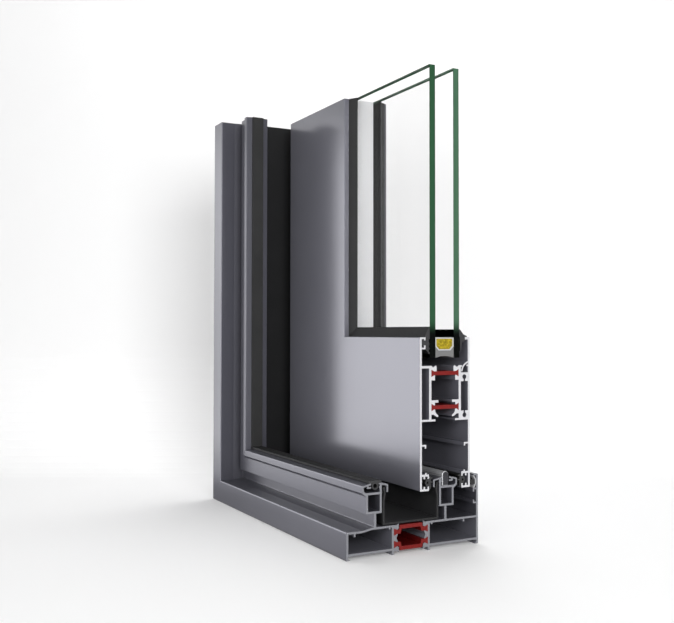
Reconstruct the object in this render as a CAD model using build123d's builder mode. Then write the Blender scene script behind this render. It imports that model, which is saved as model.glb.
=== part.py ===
"""Corner section of an aluminium lift-and-slide door: outer frame, running track, sash and double glazing.

Lengths are millimetres. X runs along the sill, Y from outside to inside, Z up; the sash is drawn lowered.
The left and bottom are the door's own edges, and the right end and the top are saw cuts.
"""
import os

from build123d import *

os.makedirs("parts", exist_ok=True)

# Sample size
sample_length = 273.0
sample_height = 355.0

# Extruded walls and the clearance between pieces that sit together
wall = 1.6
plate = 1.5
lip = 1.2
edge_radius = 1.0
root_radius = 0.6
seat = 0.05
overlap = 0.4

# Outer frame, measured from the running slots and the ground
front_reach = 22.75
track_reach = 29.55
wall_gap = 5.65
deck = 21.0
deck_fall = 1.4
ramp_top = 2.6
ramp_run = 7.6
foot = 3.0
toe = 1.2
toe_thick = 0.5
back_height = 52.0
rib_reach = 15.55
rib_drop = 2.1

# Clip grooves and seal on the tall inside wall
clip_reach = 2.9
clip_drop = 2.8
clip_pitch = 11.5
seal_pocket = 9.3
seal_bow = 1.5
seal_skin = 0.9
seal_width = 3.4
seal_clear = 0.65

# Frame thermal break
break_gap = 28.6
claw_foot = 2.3
claw_height = 2.35
claw_proud = 0.75
claw_reach = 4.1
tail_root = 2.65
tail_neck = 1.45
tail_depth = 2.7
hat_gap = 0.2
hat_lean = 0.6
hat_wall = 1.5
hat_bar = 2.7
hat_drop = 0.45

# Running tracks
stem_thick = 1.8
stem_height = 9.6
box_near = 5.4
box_far = 7.25
box_height = 14.8
slot = 6.5
slot_depth = 6.5
cheek_flare = 3.0
flange_fall = 1.5
apron = 10.55
apron_drop = 7.0
hook_reach = 3.2
tooth_drop = 3.6
cap_width = 10.2
cap_thick = 1.7
bulb_radius = 2.7
bulb_wall = 1.2
bulb_drop = 2.0
rail_width = 5.2
rail_proud = 3.9
rail_stop = 2.4
rail_chamfer = 0.35

# Trough between the tracks
cover_gap = 0.75
cover_wall = 1.5
cover_base = 1.4
cover_drop = 3.3
kink = 1.0
kink_high = 7.9
kink_low = 13.4

# Sash
sash_half = 21.9
leg_overlap = 9.3
leg_width = 7.65
leg_pocket = 12.0
pocket_depth = 4.6
pocket_lip = 1.75
leg_tick = 2.0
ledge_rise = 32.3
ledge_reach = 5.35
ledge_drop = 2.7
chamber_height = 50.1
shelf_gap = 17.3

# Sash thermal break
sash_gap = 24.0
web = 2.0
bone_rise = 8.65
bone_pitch = 24.85
bone_root = 2.75
bone_neck = 1.4
bone_depth = 2.4
bone_claw = 4.5
claw_block = 3.1
claw_depth = 5.2
arm_reach = 6.0
arm_thick = 1.85
sole_drop = 7.05
sole_thick = 1.0
port_drop = 3.1
port_rise = 2.1
port_radius = 1.75
port_slit = 1.4
port_block = 3.3
port_inset = 4.75

# Glazing rebate, bead and gaskets
rebate_rise = 5.5
rebate_plate = 1.8
rebate_depth = 20.8
groove_reach = 4.85
groove = 6.3
knob_rise = 1.7
knob_drop = 1.0
bead_step = 0.8
bead_reach = 4.05
bead_lip = 1.7
bead_foot = 4.0
bead_spring = 6.6
gasket_gap = 0.15
gasket_rise = 7.8
gasket_brow = 0.9
gasket_skin = 0.7
gasket_drop = 11.4
fin = 0.8
fin_thick = 1.2
fin_start = 4.2
fin_pitch = 3.3
barb = 1.0
wedge_rise = 5.9
wedge_drop = 10.2

# Double glazing
glass_shift = 0.45
pane = 5.0
cavity = 16.0
glass_gap = 5.7
sealant_depth = 5.5
sealant_hollow = 1.4
spacer_height = 9.4
spacer_wall = 0.8
spacer_slope = 2.8
packer_length = 38.0
packer_spare = 0.5
packer_gap = 0.35
bottom_packer_place = 21.0
side_packer_place = 111.0

# Roller carriage
tread_radius = 10.5
wheel_flange = 2.5
wheel_width = 12.0
tread_width = 6.6
wheel_gap = 0.3
axle_radius = 3.0
axle_gap = 0.05
axle_end = 1.0
wheel_pitch = 51.0
carriage_start = 70.0
carriage_length = 95.0
carriage_gap = 0.3
carriage_plate = 3.0
carriage_width = 28.0
cheek = 2.0
cheek_gap = 15.0
cheek_drop = 7.0

# Places that follow from the sizes: offsets from the middle of each thermal break, and heights
frame_out = front_reach + track_reach
frame_in = track_reach + sash_half + wall_gap + wall
frame_line = frame_out
sash_line = frame_line + track_reach
deck_front = deck - deck_fall
break_root = break_gap / 2
break_half = (deck - claw_foot) / 2
break_mid = (deck + claw_foot) / 2
break_pitch = break_half - claw_height - tail_root
track_low = deck + stem_height
track_top = track_low + box_height
flange_top = track_top + slot_depth
cap_top = flange_top + cap_thick
rail_top = flange_top + rail_proud
rail_start = cap_top + rail_stop
clip_top = back_height - lip - seal_pocket

sash_low = flange_top - leg_overlap
leg_in = sash_half - leg_width
shelf_low = sash_low + chamber_height
shelf_top = shelf_low + plate
sash_root = sash_gap / 2
bone_low = shelf_top + bone_rise
bone_high = bone_low + bone_pitch
rebate = bone_high + rebate_rise
sash_top = rebate + rebate_depth
groove_in = sash_half - groove_reach
groove_low = sash_top - lip - groove
bead_low = rebate - bead_step

glass_line = sash_line - glass_shift
glass_low = rebate + glass_gap
spacer_low = glass_low + sealant_depth
spacer_top = spacer_low + spacer_height
axle_height = rail_top + wheel_gap + tread_radius
wheel_radius = tread_radius + wheel_flange
axle_bore = axle_radius + axle_gap
carriage_top = shelf_low - carriage_gap
wheel_margin = (carriage_length - wheel_pitch) / 2
wheel_places = (carriage_start + wheel_margin, carriage_start + wheel_margin + wheel_pitch)

# Planes that the sections are drawn on, and the mitre they meet on
left = -sample_length / 2
front = -(frame_out + frame_in) / 2
sill_plane = Plane(origin=(left, front, 0), x_dir=(0, 1, 0), z_dir=(1, 0, 0))
jamb_plane = Plane(origin=(left, front, 0), x_dir=(0, 1, 0), z_dir=(0, 0, -1))
mitre = Plane(origin=(left, 0, 0), z_dir=(1, 0, -1))


def band(line, side, near, far, low, high, mode=Mode.ADD):
    """Draw a rectangle between two offsets from a centre line and two heights."""
    with Locations((line + side * (near + far) / 2, (low + high) / 2)):
        Rectangle(far - near, high - low, mode=mode)


def outline(line, side, *points, mode=Mode.ADD):
    """Draw a polygon of (offset, height) points on one side of a centre line."""
    corners = [(line + side * offset, rise) for offset, rise in points]
    Polygon(*corners[::side], align=None, mode=mode)


def bow(line, side, start, middle, end, thick):
    """Draw a curved strip of even thickness through three (offset, height) points."""
    points = [(line + side * offset, rise) for offset, rise in (start, middle, end)]
    with BuildLine(mode=Mode.PRIVATE) as path:
        ThreePointArc(*points)
    with BuildLine(mode=Mode.PRIVATE) as edge:
        offset(path.wires()[0], amount=thick / 2, kind=Kind.INTERSECTION, side=Side.BOTH)
    make_face(edge.edges())


def ease(line, side, offset_from_line, rise, radius):
    """Round the section corner nearest to a point."""
    corner = vertices().sort_by_distance((line + side * offset_from_line, rise, 0))[0]
    fillet(corner, radius=radius)


def frame_claws(side):
    """Draw the rolled claws that grip the two frame thermal breaks."""
    neck = break_root - tail_depth
    tip = break_root - claw_reach
    inside_wall = break_root + overlap
    for flip in (1, -1):
        rises = (
            (inside_wall, break_half),
            (break_root, break_half),
            (break_root - claw_reach / 2, break_half - claw_proud / 3),
            (tip, break_half + claw_proud),
            (tip, break_pitch + tail_neck + claw_proud),
            (neck, break_pitch + tail_neck),
            (break_root, break_pitch + tail_root),
            (inside_wall, break_pitch + tail_root),
        )
        outline(frame_line, side, *[(o, break_mid + flip * r) for o, r in rises][::flip])
    half = (
        (inside_wall, break_pitch - tail_root),
        (break_root, break_pitch - tail_root),
        (neck, break_pitch - tail_neck),
        (neck - hat_lean, break_pitch - tail_neck - hat_gap),
    )
    outline(
        frame_line,
        side,
        *[(o, break_mid + r) for o, r in half],
        (neck + hat_lean, break_mid),
        *[(o, break_mid - r) for o, r in half[::-1]],
    )


def frame_track(side):
    """Draw the box track on its stem, with the slotted channel on top."""
    line = frame_line + side * track_reach
    shoulder = slot / 2
    cheek_out = box_far + cheek_flare
    brow = flange_top - flange_fall
    tooth = flange_top - tooth_drop
    band(line, side, -box_near, box_far, track_low, track_top)
    band(line, side, wall - box_near, box_far - wall, track_low + wall, track_top - wall, Mode.SUBTRACT)
    band(line, side, -stem_thick / 2, stem_thick / 2, deck - overlap, track_low + overlap)
    outline(
        line,
        side,
        (shoulder, flange_top - lip),
        (cheek_out, brow - lip),
        (cheek_out, brow),
        (shoulder, flange_top),
    )
    band(line, side, cheek_out - lip, cheek_out, track_top, brow - lip / 2)
    outline(
        line,
        side,
        (box_far - overlap, track_top - overlap),
        (box_far - overlap, track_top - 2 * lip),
        (box_far, track_top - 2 * lip),
        (cheek_out, track_top),
        (cheek_out, track_top + lip),
        (cheek_out - lip, track_top + lip),
    )
    band(line, side, shoulder + hook_reach - lip, shoulder + hook_reach, tooth, flange_top - lip)
    band(line, side, shoulder, shoulder + hook_reach, tooth, tooth + lip)
    band(line, side, -box_near, wall - box_near, track_top - overlap, flange_top - lip)
    band(line, side, -box_near, -shoulder, tooth, tooth + lip)
    outline(
        line,
        side,
        (-apron, brow - lip),
        (-shoulder, flange_top - lip),
        (-shoulder, flange_top),
        (-apron, brow),
    )
    band(line, side, -apron, lip - apron, flange_top - apron_drop, brow - lip / 2)
    ease(line, side, cheek_out, brow, edge_radius)
    ease(line, side, -apron, brow, root_radius)


def frame_shell(side, far, underside):
    """Draw the inner wall, floor, outer foot and small ribs of one frame half."""
    floor_top = foot + wall
    band(frame_line, side, break_root, break_root + wall, 0, deck)
    band(frame_line, side, break_root, far, foot, floor_top)
    outline(
        frame_line,
        side,
        (far, 0),
        (far, foot + overlap),
        (far - wall, foot + overlap),
        (far - wall, toe),
        (far - wall - toe, toe_thick),
        (far - wall - toe, 0),
    )
    rib = break_root + wall + lip
    band(frame_line, side, rib, rib + lip, deck - plate - lip, deck - overlap)
    rib = track_reach + rib_reach
    band(frame_line, side, rib, rib + lip, underside - rib_drop, underside + overlap)


def stem_foot(side):
    """Round the inner corners where the track stem stands on the deck."""
    line = frame_line + side * track_reach
    ease(line, side, stem_thick / 2, deck, root_radius)
    ease(line, side, -stem_thick / 2, deck, root_radius)


def frame_outside():
    """Draw the outside half of the frame section, whose deck drains to the front."""
    side = -1
    ramp_high = track_reach + ramp_top
    ramp_low = ramp_high + ramp_run
    band(frame_line, side, frame_out - wall, frame_out, 0, deck_front)
    outline(
        frame_line,
        side,
        (break_root, deck - plate),
        (ramp_high, deck - plate),
        (ramp_low, deck_front - plate),
        (frame_out, deck_front - plate),
        (frame_out, deck_front),
        (ramp_low, deck_front),
        (ramp_high, deck),
        (break_root, deck),
    )
    frame_shell(side, frame_out, deck_front - plate)
    frame_track(side)
    frame_claws(side)
    stem_foot(side)
    ease(frame_line, side, frame_out, deck_front, edge_radius)


def frame_inside():
    """Draw the inside half of the frame section, with the tall wall that hides the sash edge."""
    side = 1
    face = frame_in - wall
    hook = face - clip_reach
    clip_low = clip_top - clip_pitch
    band(frame_line, side, face, frame_in, 0, back_height)
    band(frame_line, side, break_root, frame_in, deck - plate, deck)
    band(frame_line, side, hook, face + overlap, clip_top - lip, clip_top)
    band(frame_line, side, hook, hook + lip, clip_top - clip_drop, clip_top)
    band(frame_line, side, hook, face + overlap, clip_low, clip_low + lip)
    band(frame_line, side, hook, hook + lip, clip_low, clip_low + clip_drop)
    band(frame_line, side, hook + lip / 2, face + overlap, back_height - lip, back_height)
    frame_shell(side, frame_in, deck - plate)
    frame_track(side)
    frame_claws(side)
    stem_foot(side)
    ease(frame_line, side, frame_in, back_height, edge_radius)


def frame_breaks():
    """Draw the two hat-shaped thermal breaks between the frame halves."""
    neck = break_root - tail_depth
    hat_foot = break_root - claw_reach - hat_gap
    hat_side = hat_foot - hat_lean
    hat_top = break_half - hat_drop
    over = (
        (break_root, break_pitch + tail_root),
        (neck, break_pitch + tail_neck),
        (hat_foot, break_pitch + tail_neck),
        (hat_side, hat_top),
    )
    under = (
        (hat_side - hat_wall, hat_top - hat_bar),
        (hat_side - hat_lean, break_pitch - tail_neck),
        (neck, break_pitch - tail_neck),
        (break_root, break_pitch - tail_root),
    )
    for flip in (1, -1):
        over_left = [(frame_line - o, break_mid + flip * r) for o, r in over]
        over_right = [(frame_line + o, break_mid + flip * r) for o, r in over]
        under_left = [(frame_line - o, break_mid + flip * r) for o, r in under]
        under_right = [(frame_line + o, break_mid + flip * r) for o, r in under]
        loop = over_left + over_right[::-1] + under_right[::-1] + under_left
        Polygon(*loop[::-flip], align=None)


def track_gasket(side):
    """Draw the cover gasket that plugs a track slot."""
    line = frame_line + side * track_reach
    bulb = flange_top - bulb_drop
    band(line, 1, -cap_width / 2, cap_width / 2, flange_top, cap_top)
    band(line, 1, -bulb_radius, bulb_radius, bulb, flange_top + overlap)
    with Locations((line, bulb)):
        Circle(bulb_radius)
        Circle(bulb_radius - bulb_wall, mode=Mode.SUBTRACT)


def outside_track_gasket():
    """Draw the gasket in the outside track."""
    track_gasket(-1)


def inside_track_gasket():
    """Draw the gasket in the inside track, where no rail runs."""
    track_gasket(1)


def channel_cover():
    """Draw the black trough that lines the channel between the two tracks."""
    reach = track_reach - box_near - cover_gap
    base = deck + claw_proud + seat
    wall_line = (
        (reach, base),
        (reach, flange_top - kink_low),
        (reach - kink, flange_top - kink_high),
        (reach, flange_top - cover_drop),
        (reach - cover_wall, flange_top - cover_drop),
        (reach - kink - cover_wall, flange_top - kink_high),
        (reach - cover_wall, flange_top - kink_low),
        (reach - cover_wall, base + cover_base),
    )
    right = [(frame_line + o, r) for o, r in wall_line]
    mirrored = [(frame_line - o, r) for o, r in wall_line]
    Polygon(*right, *mirrored[::-1], align=None)


def wall_seal():
    """Draw the seal sprung into the tall inside wall: a bowed base and a soft pad facing the sash."""
    face = frame_in - wall - seat
    low = clip_top + seat
    high = back_height - lip - seat
    middle = (low + high) / 2
    ends = face - seal_bow - seal_skin / 2
    crown = face - seal_skin / 2
    bow(frame_line, 1, (ends, low + seal_skin / 2), (crown, middle), (ends, high - seal_skin / 2), seal_skin)
    pad = track_reach + sash_half + seal_clear
    band(frame_line, 1, pad, crown, middle - seal_width / 2, middle + seal_width / 2)


def sash_leg(side):
    """Draw one sash leg: seal pocket, ledge, shelf and the web beside the thermal breaks."""
    face = sash_half - wall + overlap
    pocket_in = leg_in + pocket_depth
    pocket_top = sash_low + leg_pocket
    ledge = sash_low + ledge_rise
    ledge_in = sash_half - ledge_reach
    for inner in (leg_in, pocket_in - lip):
        band(sash_line, side, inner, inner + lip, sash_low, sash_low + plate + pocket_lip)
        band(sash_line, side, inner, inner + lip, pocket_top - plate - pocket_lip, pocket_top)
    band(sash_line, side, leg_in, face, sash_low, sash_low + plate)
    band(sash_line, side, leg_in, face, pocket_top - plate, pocket_top)
    band(sash_line, side, leg_in + leg_tick, leg_in + leg_tick + lip, pocket_top - overlap, pocket_top + lip)
    band(sash_line, side, ledge_in, face, ledge, ledge + lip)
    band(sash_line, side, ledge_in, ledge_in + lip, ledge + lip - ledge_drop, ledge + lip)
    band(sash_line, side, shelf_gap / 2, face, shelf_low, shelf_top)
    band(sash_line, side, sash_root, sash_root + web, shelf_low, rebate)


def sash_claws(side):
    """Draw the claws that grip the two sash thermal breaks."""
    neck = sash_root - bone_depth
    block = sash_root - claw_block
    inside_wall = sash_root + overlap
    outline(
        sash_line,
        side,
        (inside_wall, bone_high + bone_root),
        (sash_root, bone_high + bone_root),
        (neck, bone_high + bone_neck),
        (sash_root - bone_claw, bone_high + bone_neck),
        (sash_root - bone_claw, rebate - lip / 2),
        (sash_root - bone_claw + lip / 2, rebate + lip / 4),
        (sash_root - bone_claw / 3, rebate - lip),
        (sash_root, rebate),
        (inside_wall, rebate),
    )
    outline(
        sash_line,
        side,
        (inside_wall, bone_high - claw_depth),
        (block, bone_high - claw_depth),
        (block, bone_high - bone_neck - hat_gap),
        (neck, bone_high - bone_neck),
        (sash_root, bone_high - bone_root),
        (inside_wall, bone_high - bone_root),
    )
    outline(
        sash_line,
        side,
        (inside_wall, bone_low + bone_root),
        (sash_root, bone_low + bone_root),
        (neck, bone_low + bone_neck),
        (block, bone_low + bone_neck + hat_gap),
        (block, bone_low + claw_depth - arm_thick),
        (sash_root - arm_reach, bone_low + claw_depth - arm_thick),
        (sash_root - arm_reach, bone_low + claw_depth),
        (inside_wall, bone_low + claw_depth),
    )
    outline(
        sash_line,
        side,
        (inside_wall, bone_low - claw_depth),
        (block + lip, bone_low - claw_depth),
        (block - lip / 2, bone_low - sole_drop + sole_thick / 2),
        (sash_root - arm_reach + lip, bone_low - sole_drop),
        (sash_root - arm_reach, bone_low - sole_drop),
        (sash_root - arm_reach, bone_low - sole_drop + sole_thick),
        (block - lip, bone_low - claw_depth + sole_thick / 2),
        (block - lip / 4, bone_low - claw_depth + 2 * sole_thick),
        (block, bone_low - bone_neck - hat_gap),
        (neck, bone_low - bone_neck),
        (sash_root, bone_low - bone_root),
        (inside_wall, bone_low - bone_root),
    )


def sash_outside():
    """Draw the outside half of the sash section, with the glazing gasket groove at its top."""
    side = -1
    face = sash_half - wall + overlap
    band(sash_line, side, sash_half - wall, sash_half, sash_low, sash_top)
    sash_leg(side)
    band(sash_line, side, sash_root, face, rebate - rebate_plate, rebate)
    band(sash_line, side, groove_in, face, sash_top - lip, sash_top)
    band(sash_line, side, groove_in, groove_in + lip, sash_top - lip - knob_drop, sash_top)
    band(sash_line, side, groove_in, face, groove_low - lip, groove_low)
    band(sash_line, side, groove_in, groove_in + lip, groove_low - lip, groove_low + knob_rise)
    sash_claws(side)
    ease(sash_line, side, sash_half, sash_top, root_radius)
    ease(sash_line, side, sash_half, sash_low, root_radius)


def sash_inside():
    """Draw the inside half of the sash section, with its screw ports and bead groove."""
    side = 1
    face = sash_half - wall + overlap
    web_face = sash_root + web
    port = sash_line + sash_half - port_inset
    port_high = bone_high - port_drop
    port_low = shelf_top + port_rise
    band(sash_line, side, sash_half - wall, sash_half, sash_low, bead_low - 2 * seat)
    sash_leg(side)
    band(sash_line, side, web_face - overlap, face, port_high - port_block, port_high + port_block)
    band(sash_line, side, web_face - overlap, face, shelf_low, port_low + port_block)
    band(sash_line, side, web_face - overlap, web_face + lip, rebate - lip, rebate)
    with Locations((port, port_high), (port, port_low)):
        Circle(port_radius, mode=Mode.SUBTRACT)
    slit_depth = port_block + overlap
    band(port, 1, -port_slit / 2, port_slit / 2, port_high - slit_depth, port_high, Mode.SUBTRACT)
    band(port, 1, -port_slit / 2, port_slit / 2, port_low, port_low + slit_depth, Mode.SUBTRACT)
    sash_claws(side)
    ease(sash_line, side, sash_half, sash_low, root_radius)


def sash_breaks():
    """Draw the two dog-bone thermal breaks between the sash halves."""
    neck = sash_root - bone_depth
    for middle in (bone_low, bone_high):
        Polygon(
            (sash_line - sash_root, middle - bone_root),
            (sash_line - neck, middle - bone_neck),
            (sash_line + neck, middle - bone_neck),
            (sash_line + sash_root, middle - bone_root),
            (sash_line + sash_root, middle + bone_root),
            (sash_line + neck, middle + bone_neck),
            (sash_line - neck, middle + bone_neck),
            (sash_line - sash_root, middle + bone_root),
            align=None,
        )


def leg_seals():
    """Draw the finned seals pushed into the two sash legs."""
    back = leg_in - seat
    front_face = back - wall
    bite = pocket_depth - lip + seat
    fin_tip = apron + seal_clear / 2
    pocket_mid = sash_low + leg_pocket / 2
    mouth = leg_pocket / 2 - plate - pocket_lip - gasket_gap
    flap = leg_pocket / 2 - plate - gasket_gap
    for side in (-1, 1):
        band(sash_line, side, front_face, back, pocket_mid - flap, pocket_mid + flap)
        outline(
            sash_line,
            side,
            (front_face + seat, pocket_mid - mouth),
            (leg_in + bite - lip, pocket_mid - mouth),
            (leg_in + bite, pocket_mid),
            (leg_in + bite - lip, pocket_mid + mouth),
            (front_face + seat, pocket_mid + mouth),
        )
        for rise in (0, flap - lip):
            outline(
                sash_line,
                side,
                (front_face + seat, pocket_mid + rise - lip / 2),
                (front_face + seat, pocket_mid + rise + lip / 2),
                (fin_tip, pocket_mid + rise + lip / 2),
                (fin_tip, pocket_mid + rise),
            )
        outline(
            sash_line,
            side,
            (leg_in + lip / 2, pocket_mid - mouth / 2),
            (leg_in + bite - lip, pocket_mid),
            (leg_in + lip / 2, pocket_mid + mouth / 2),
            mode=Mode.SUBTRACT,
        )


def glazing_bead():
    """Draw the snap-in glazing bead with its spring foot."""
    side = 1
    face = sash_half - wall + overlap
    spring_start = (face, bead_low + lip + bead_foot / 2)
    spring_bend = (sash_half - wall - bead_foot, rebate - lip / 2)
    spring_end = (sash_half - bead_spring - overlap, rebate - bead_foot)
    band(sash_line, side, sash_half - wall, sash_half, bead_low, sash_top)
    band(sash_line, side, sash_half - bead_reach, face, sash_top - bead_lip, sash_top)
    band(sash_line, side, sash_half - wall - lip, face, bead_low, bead_low + lip)
    bow(sash_line, side, spring_start, spring_bend, spring_end, lip)
    ease(sash_line, side, sash_half, sash_top, root_radius)


def outside_gasket():
    """Draw the outside glazing gasket, from its foot in the groove up to the pane."""
    face = glass_shift + cavity / 2 + pane
    root = face + fin
    mouth = groove_in - gasket_gap
    neck_low = groove_low + knob_rise + gasket_gap
    neck_high = sash_top - lip - knob_drop - gasket_gap
    foot_in = groove_in + lip + gasket_gap
    foot_far = sash_half - wall - 2 * gasket_gap
    outline(
        sash_line,
        -1,
        (face, sash_top + gasket_rise),
        (face, sash_top - barb),
        (root, sash_top - barb - fin),
        (root, sash_top - gasket_drop),
        (mouth - overlap, groove_low - lip - fin),
        (mouth, neck_low),
        (foot_in, neck_low),
        (foot_in, neck_low - barb),
        (foot_far, neck_low + gasket_gap),
        (foot_far, neck_high - gasket_gap),
        (foot_in, neck_high + barb),
        (foot_in, neck_high),
        (mouth, neck_high),
        (mouth, sash_top + gasket_gap),
        (groove_in + gasket_skin, sash_top + gasket_gap),
        (groove_in + gasket_skin / 2, sash_top + gasket_brow),
        (face + gasket_skin, sash_top + gasket_rise - gasket_skin / 2),
    )
    for row in range(3):
        tip = sash_top - fin_start - row * fin_pitch
        band(sash_line, -1, face, root + overlap, tip - fin_thick, tip)


def inside_gasket():
    """Draw the wedge gasket between the glazing bead and the inside pane."""
    face = cavity / 2 + pane - glass_shift
    root = face + fin
    mouth = sash_half - bead_reach - gasket_gap
    outline(
        sash_line,
        1,
        (face, sash_top + wedge_rise),
        (face, sash_top + barb),
        (root, sash_top),
        (root, sash_top - wedge_drop),
        (root + gasket_skin, sash_top - wedge_drop),
        (mouth - 2 * lip, sash_top - bead_lip - 2 * barb),
        (mouth + gasket_skin, sash_top - bead_lip - fin),
        (mouth, sash_top - bead_lip - gasket_gap),
        (mouth, sash_top + gasket_gap),
        (sash_half - 2 * lip, sash_top + gasket_gap),
        (sash_half - 2 * lip, sash_top + gasket_brow),
        (mouth - lip, sash_top + gasket_brow + lip),
        (face + lip, sash_top + wedge_rise - lip / 2),
        (face + gasket_skin, sash_top + wedge_rise),
    )


def spacer_outline(inset, mode=Mode.ADD):
    """Draw the spacer bar outline, pulled in by an inset."""
    half = cavity / 2 - inset
    low = spacer_low + inset
    high = spacer_top - inset
    slope = spacer_slope - 0.4 * inset
    Polygon(
        (glass_line - half, high),
        (glass_line - half, low + slope),
        (glass_line - half + slope, low),
        (glass_line + half - slope, low),
        (glass_line + half, low + slope),
        (glass_line + half, high),
        align=None,
        mode=mode,
    )


def spacer_bar():
    """Draw the hollow spacer bar between the panes."""
    spacer_outline(0)
    spacer_outline(spacer_wall, Mode.SUBTRACT)


def desiccant():
    """Draw the drying granules that fill the spacer bar."""
    spacer_outline(spacer_wall + seat)


def edge_sealant():
    """Draw the sealant behind the spacer bar, hollowed on its open side."""
    half = cavity / 2
    with BuildLine() as edge:
        Polyline(
            (glass_line - half, glass_low),
            (glass_line - half, spacer_low + spacer_slope),
            (glass_line - half + spacer_slope, spacer_low),
            (glass_line + half - spacer_slope, spacer_low),
            (glass_line + half, spacer_low + spacer_slope),
            (glass_line + half, glass_low),
        )
        ThreePointArc(
            (glass_line + half, glass_low),
            (glass_line, glass_low + sealant_hollow),
            (glass_line - half, glass_low),
        )
    make_face(edge.edges())


def sill_member(section, label):
    """Run a section along the sill, mitre its left end and write it out."""
    with BuildPart() as member:
        with BuildSketch(sill_plane):
            section()
        extrude(amount=sample_length)
        split(bisect_by=mitre, keep=Keep.TOP)
    member.part.label = label
    export_step(member.part, f"parts/{label}.step")


def jamb_member(section, label):
    """Run a section up the jamb, mitre its lower end and write it out."""
    with BuildPart() as member:
        with BuildSketch(jamb_plane):
            section()
        extrude(amount=-sample_height)
        split(bisect_by=mitre, keep=Keep.BOTTOM)
    member.part.label = label
    export_step(member.part, f"parts/{label}.step")


# Outer frame: sill and jamb share every section and meet on the mitre
sill_member(frame_outside, "sill_outside_profile")
sill_member(frame_inside, "sill_inside_profile")
sill_member(frame_breaks, "sill_thermal_breaks")
sill_member(outside_track_gasket, "sill_track_gasket")
sill_member(channel_cover, "sill_channel_cover")
sill_member(wall_seal, "sill_wall_seal")
jamb_member(frame_outside, "jamb_outside_profile")
jamb_member(frame_inside, "jamb_inside_profile")
jamb_member(frame_breaks, "jamb_thermal_breaks")
jamb_member(outside_track_gasket, "jamb_track_gasket")
jamb_member(inside_track_gasket, "jamb_inside_track_gasket")
jamb_member(channel_cover, "jamb_channel_cover")
jamb_member(wall_seal, "jamb_wall_seal")

# Running rail, set in the sill's inside track
with BuildPart() as rail:
    with BuildSketch(sill_plane.offset(rail_start)):
        crown = rail_top - rail_width / 2
        band(sash_line, 1, -rail_width / 2, rail_width / 2, track_top, crown)
        with Locations((sash_line, crown)):
            Circle(rail_width / 2)
    extrude(amount=sample_length - rail_start)
    chamfer(faces().sort_by(Axis.X)[-1].edges(), length=rail_chamfer)
rail.part.label = "running_rail"
export_step(rail.part, "parts/running_rail.step")

# Sash: bottom rail and stile share every section
sill_member(sash_outside, "bottom_rail_outside_profile")
sill_member(sash_inside, "bottom_rail_inside_profile")
sill_member(sash_breaks, "bottom_rail_thermal_breaks")
sill_member(leg_seals, "bottom_rail_leg_seals")
sill_member(glazing_bead, "bottom_glazing_bead")
sill_member(outside_gasket, "bottom_outside_gasket")
sill_member(inside_gasket, "bottom_inside_gasket")
sill_member(spacer_bar, "bottom_spacer_bar")
sill_member(desiccant, "bottom_desiccant")
sill_member(edge_sealant, "bottom_edge_sealant")
jamb_member(sash_outside, "stile_outside_profile")
jamb_member(sash_inside, "stile_inside_profile")
jamb_member(sash_breaks, "stile_thermal_breaks")
jamb_member(leg_seals, "stile_leg_seals")
jamb_member(glazing_bead, "side_glazing_bead")
jamb_member(outside_gasket, "side_outside_gasket")
jamb_member(inside_gasket, "side_inside_gasket")
jamb_member(spacer_bar, "side_spacer_bar")
jamb_member(desiccant, "side_desiccant")
jamb_member(edge_sealant, "side_edge_sealant")

# Panes
corner_align = (Align.MIN, Align.MIN, Align.MIN)
for label, pane_front in (("outside_pane", -cavity / 2 - pane), ("inside_pane", cavity / 2)):
    with BuildPart() as sheet:
        with Locations((left + glass_low, front + glass_line + pane_front, glass_low)):
            Box(sample_length - glass_low, pane, sample_height - glass_low, align=corner_align)
    sheet.part.label = label
    export_step(sheet.part, f"parts/{label}.step")

# Packers that carry and square the glass in the rebate
packer_width = cavity + 2 * pane + 2 * packer_spare
packer_thick = glass_gap - packer_gap
packer_front = front + glass_line - packer_width / 2
with BuildPart() as bottom_packer:
    with Locations((left + glass_low + bottom_packer_place, packer_front, rebate + packer_gap)):
        Box(packer_length, packer_width, packer_thick, align=corner_align)
bottom_packer.part.label = "bottom_glass_packer"
export_step(bottom_packer.part, "parts/bottom_glass_packer.step")

with BuildPart() as side_packer:
    with Locations((left + rebate + packer_gap, packer_front, glass_low + side_packer_place)):
        Box(packer_thick, packer_width, packer_length, align=corner_align)
side_packer.part.label = "side_glass_packer"
export_step(side_packer.part, "parts/side_glass_packer.step")

# Roller carriage hidden in the bottom rail's chamber
cheek_in = cheek_gap / 2
cheek_out = cheek_in + cheek
with BuildPart() as housing:
    with BuildSketch(sill_plane.offset(carriage_start)):
        plate_half = carriage_width / 2
        band(sash_line, 1, -plate_half, plate_half, carriage_top - carriage_plate, carriage_top)
        for side in (-1, 1):
            band(sash_line, side, cheek_in, cheek_out, axle_height - cheek_drop, carriage_top - overlap)
    extrude(amount=carriage_length)
    for place in wheel_places:
        with Locations(Location((left + place, front + sash_line, axle_height), (90, 0, 0))):
            Cylinder(axle_bore, 4 * cheek_out, mode=Mode.SUBTRACT)
housing.part.label = "carriage_housing"
export_step(housing.part, "parts/carriage_housing.step")

with BuildPart() as rollers:
    half = wheel_width / 2
    groove_half = tread_width / 2
    for place in wheel_places:
        hub = (left + place, front + sash_line, axle_height)
        with BuildSketch(Plane(origin=hub, x_dir=(0, 1, 0), z_dir=(1, 0, 0))):
            Polygon(
                (-half, axle_bore),
                (half, axle_bore),
                (half, wheel_radius),
                (groove_half, wheel_radius),
                (groove_half * 0.6, tread_radius + wheel_flange / 5),
                (0, tread_radius),
                (-groove_half * 0.6, tread_radius + wheel_flange / 5),
                (-groove_half, wheel_radius),
                (-half, wheel_radius),
                align=None,
            )
        revolve(axis=Axis(hub, (0, 1, 0)))
rollers.part.label = "rollers"
export_step(rollers.part, "parts/rollers.step")

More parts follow.
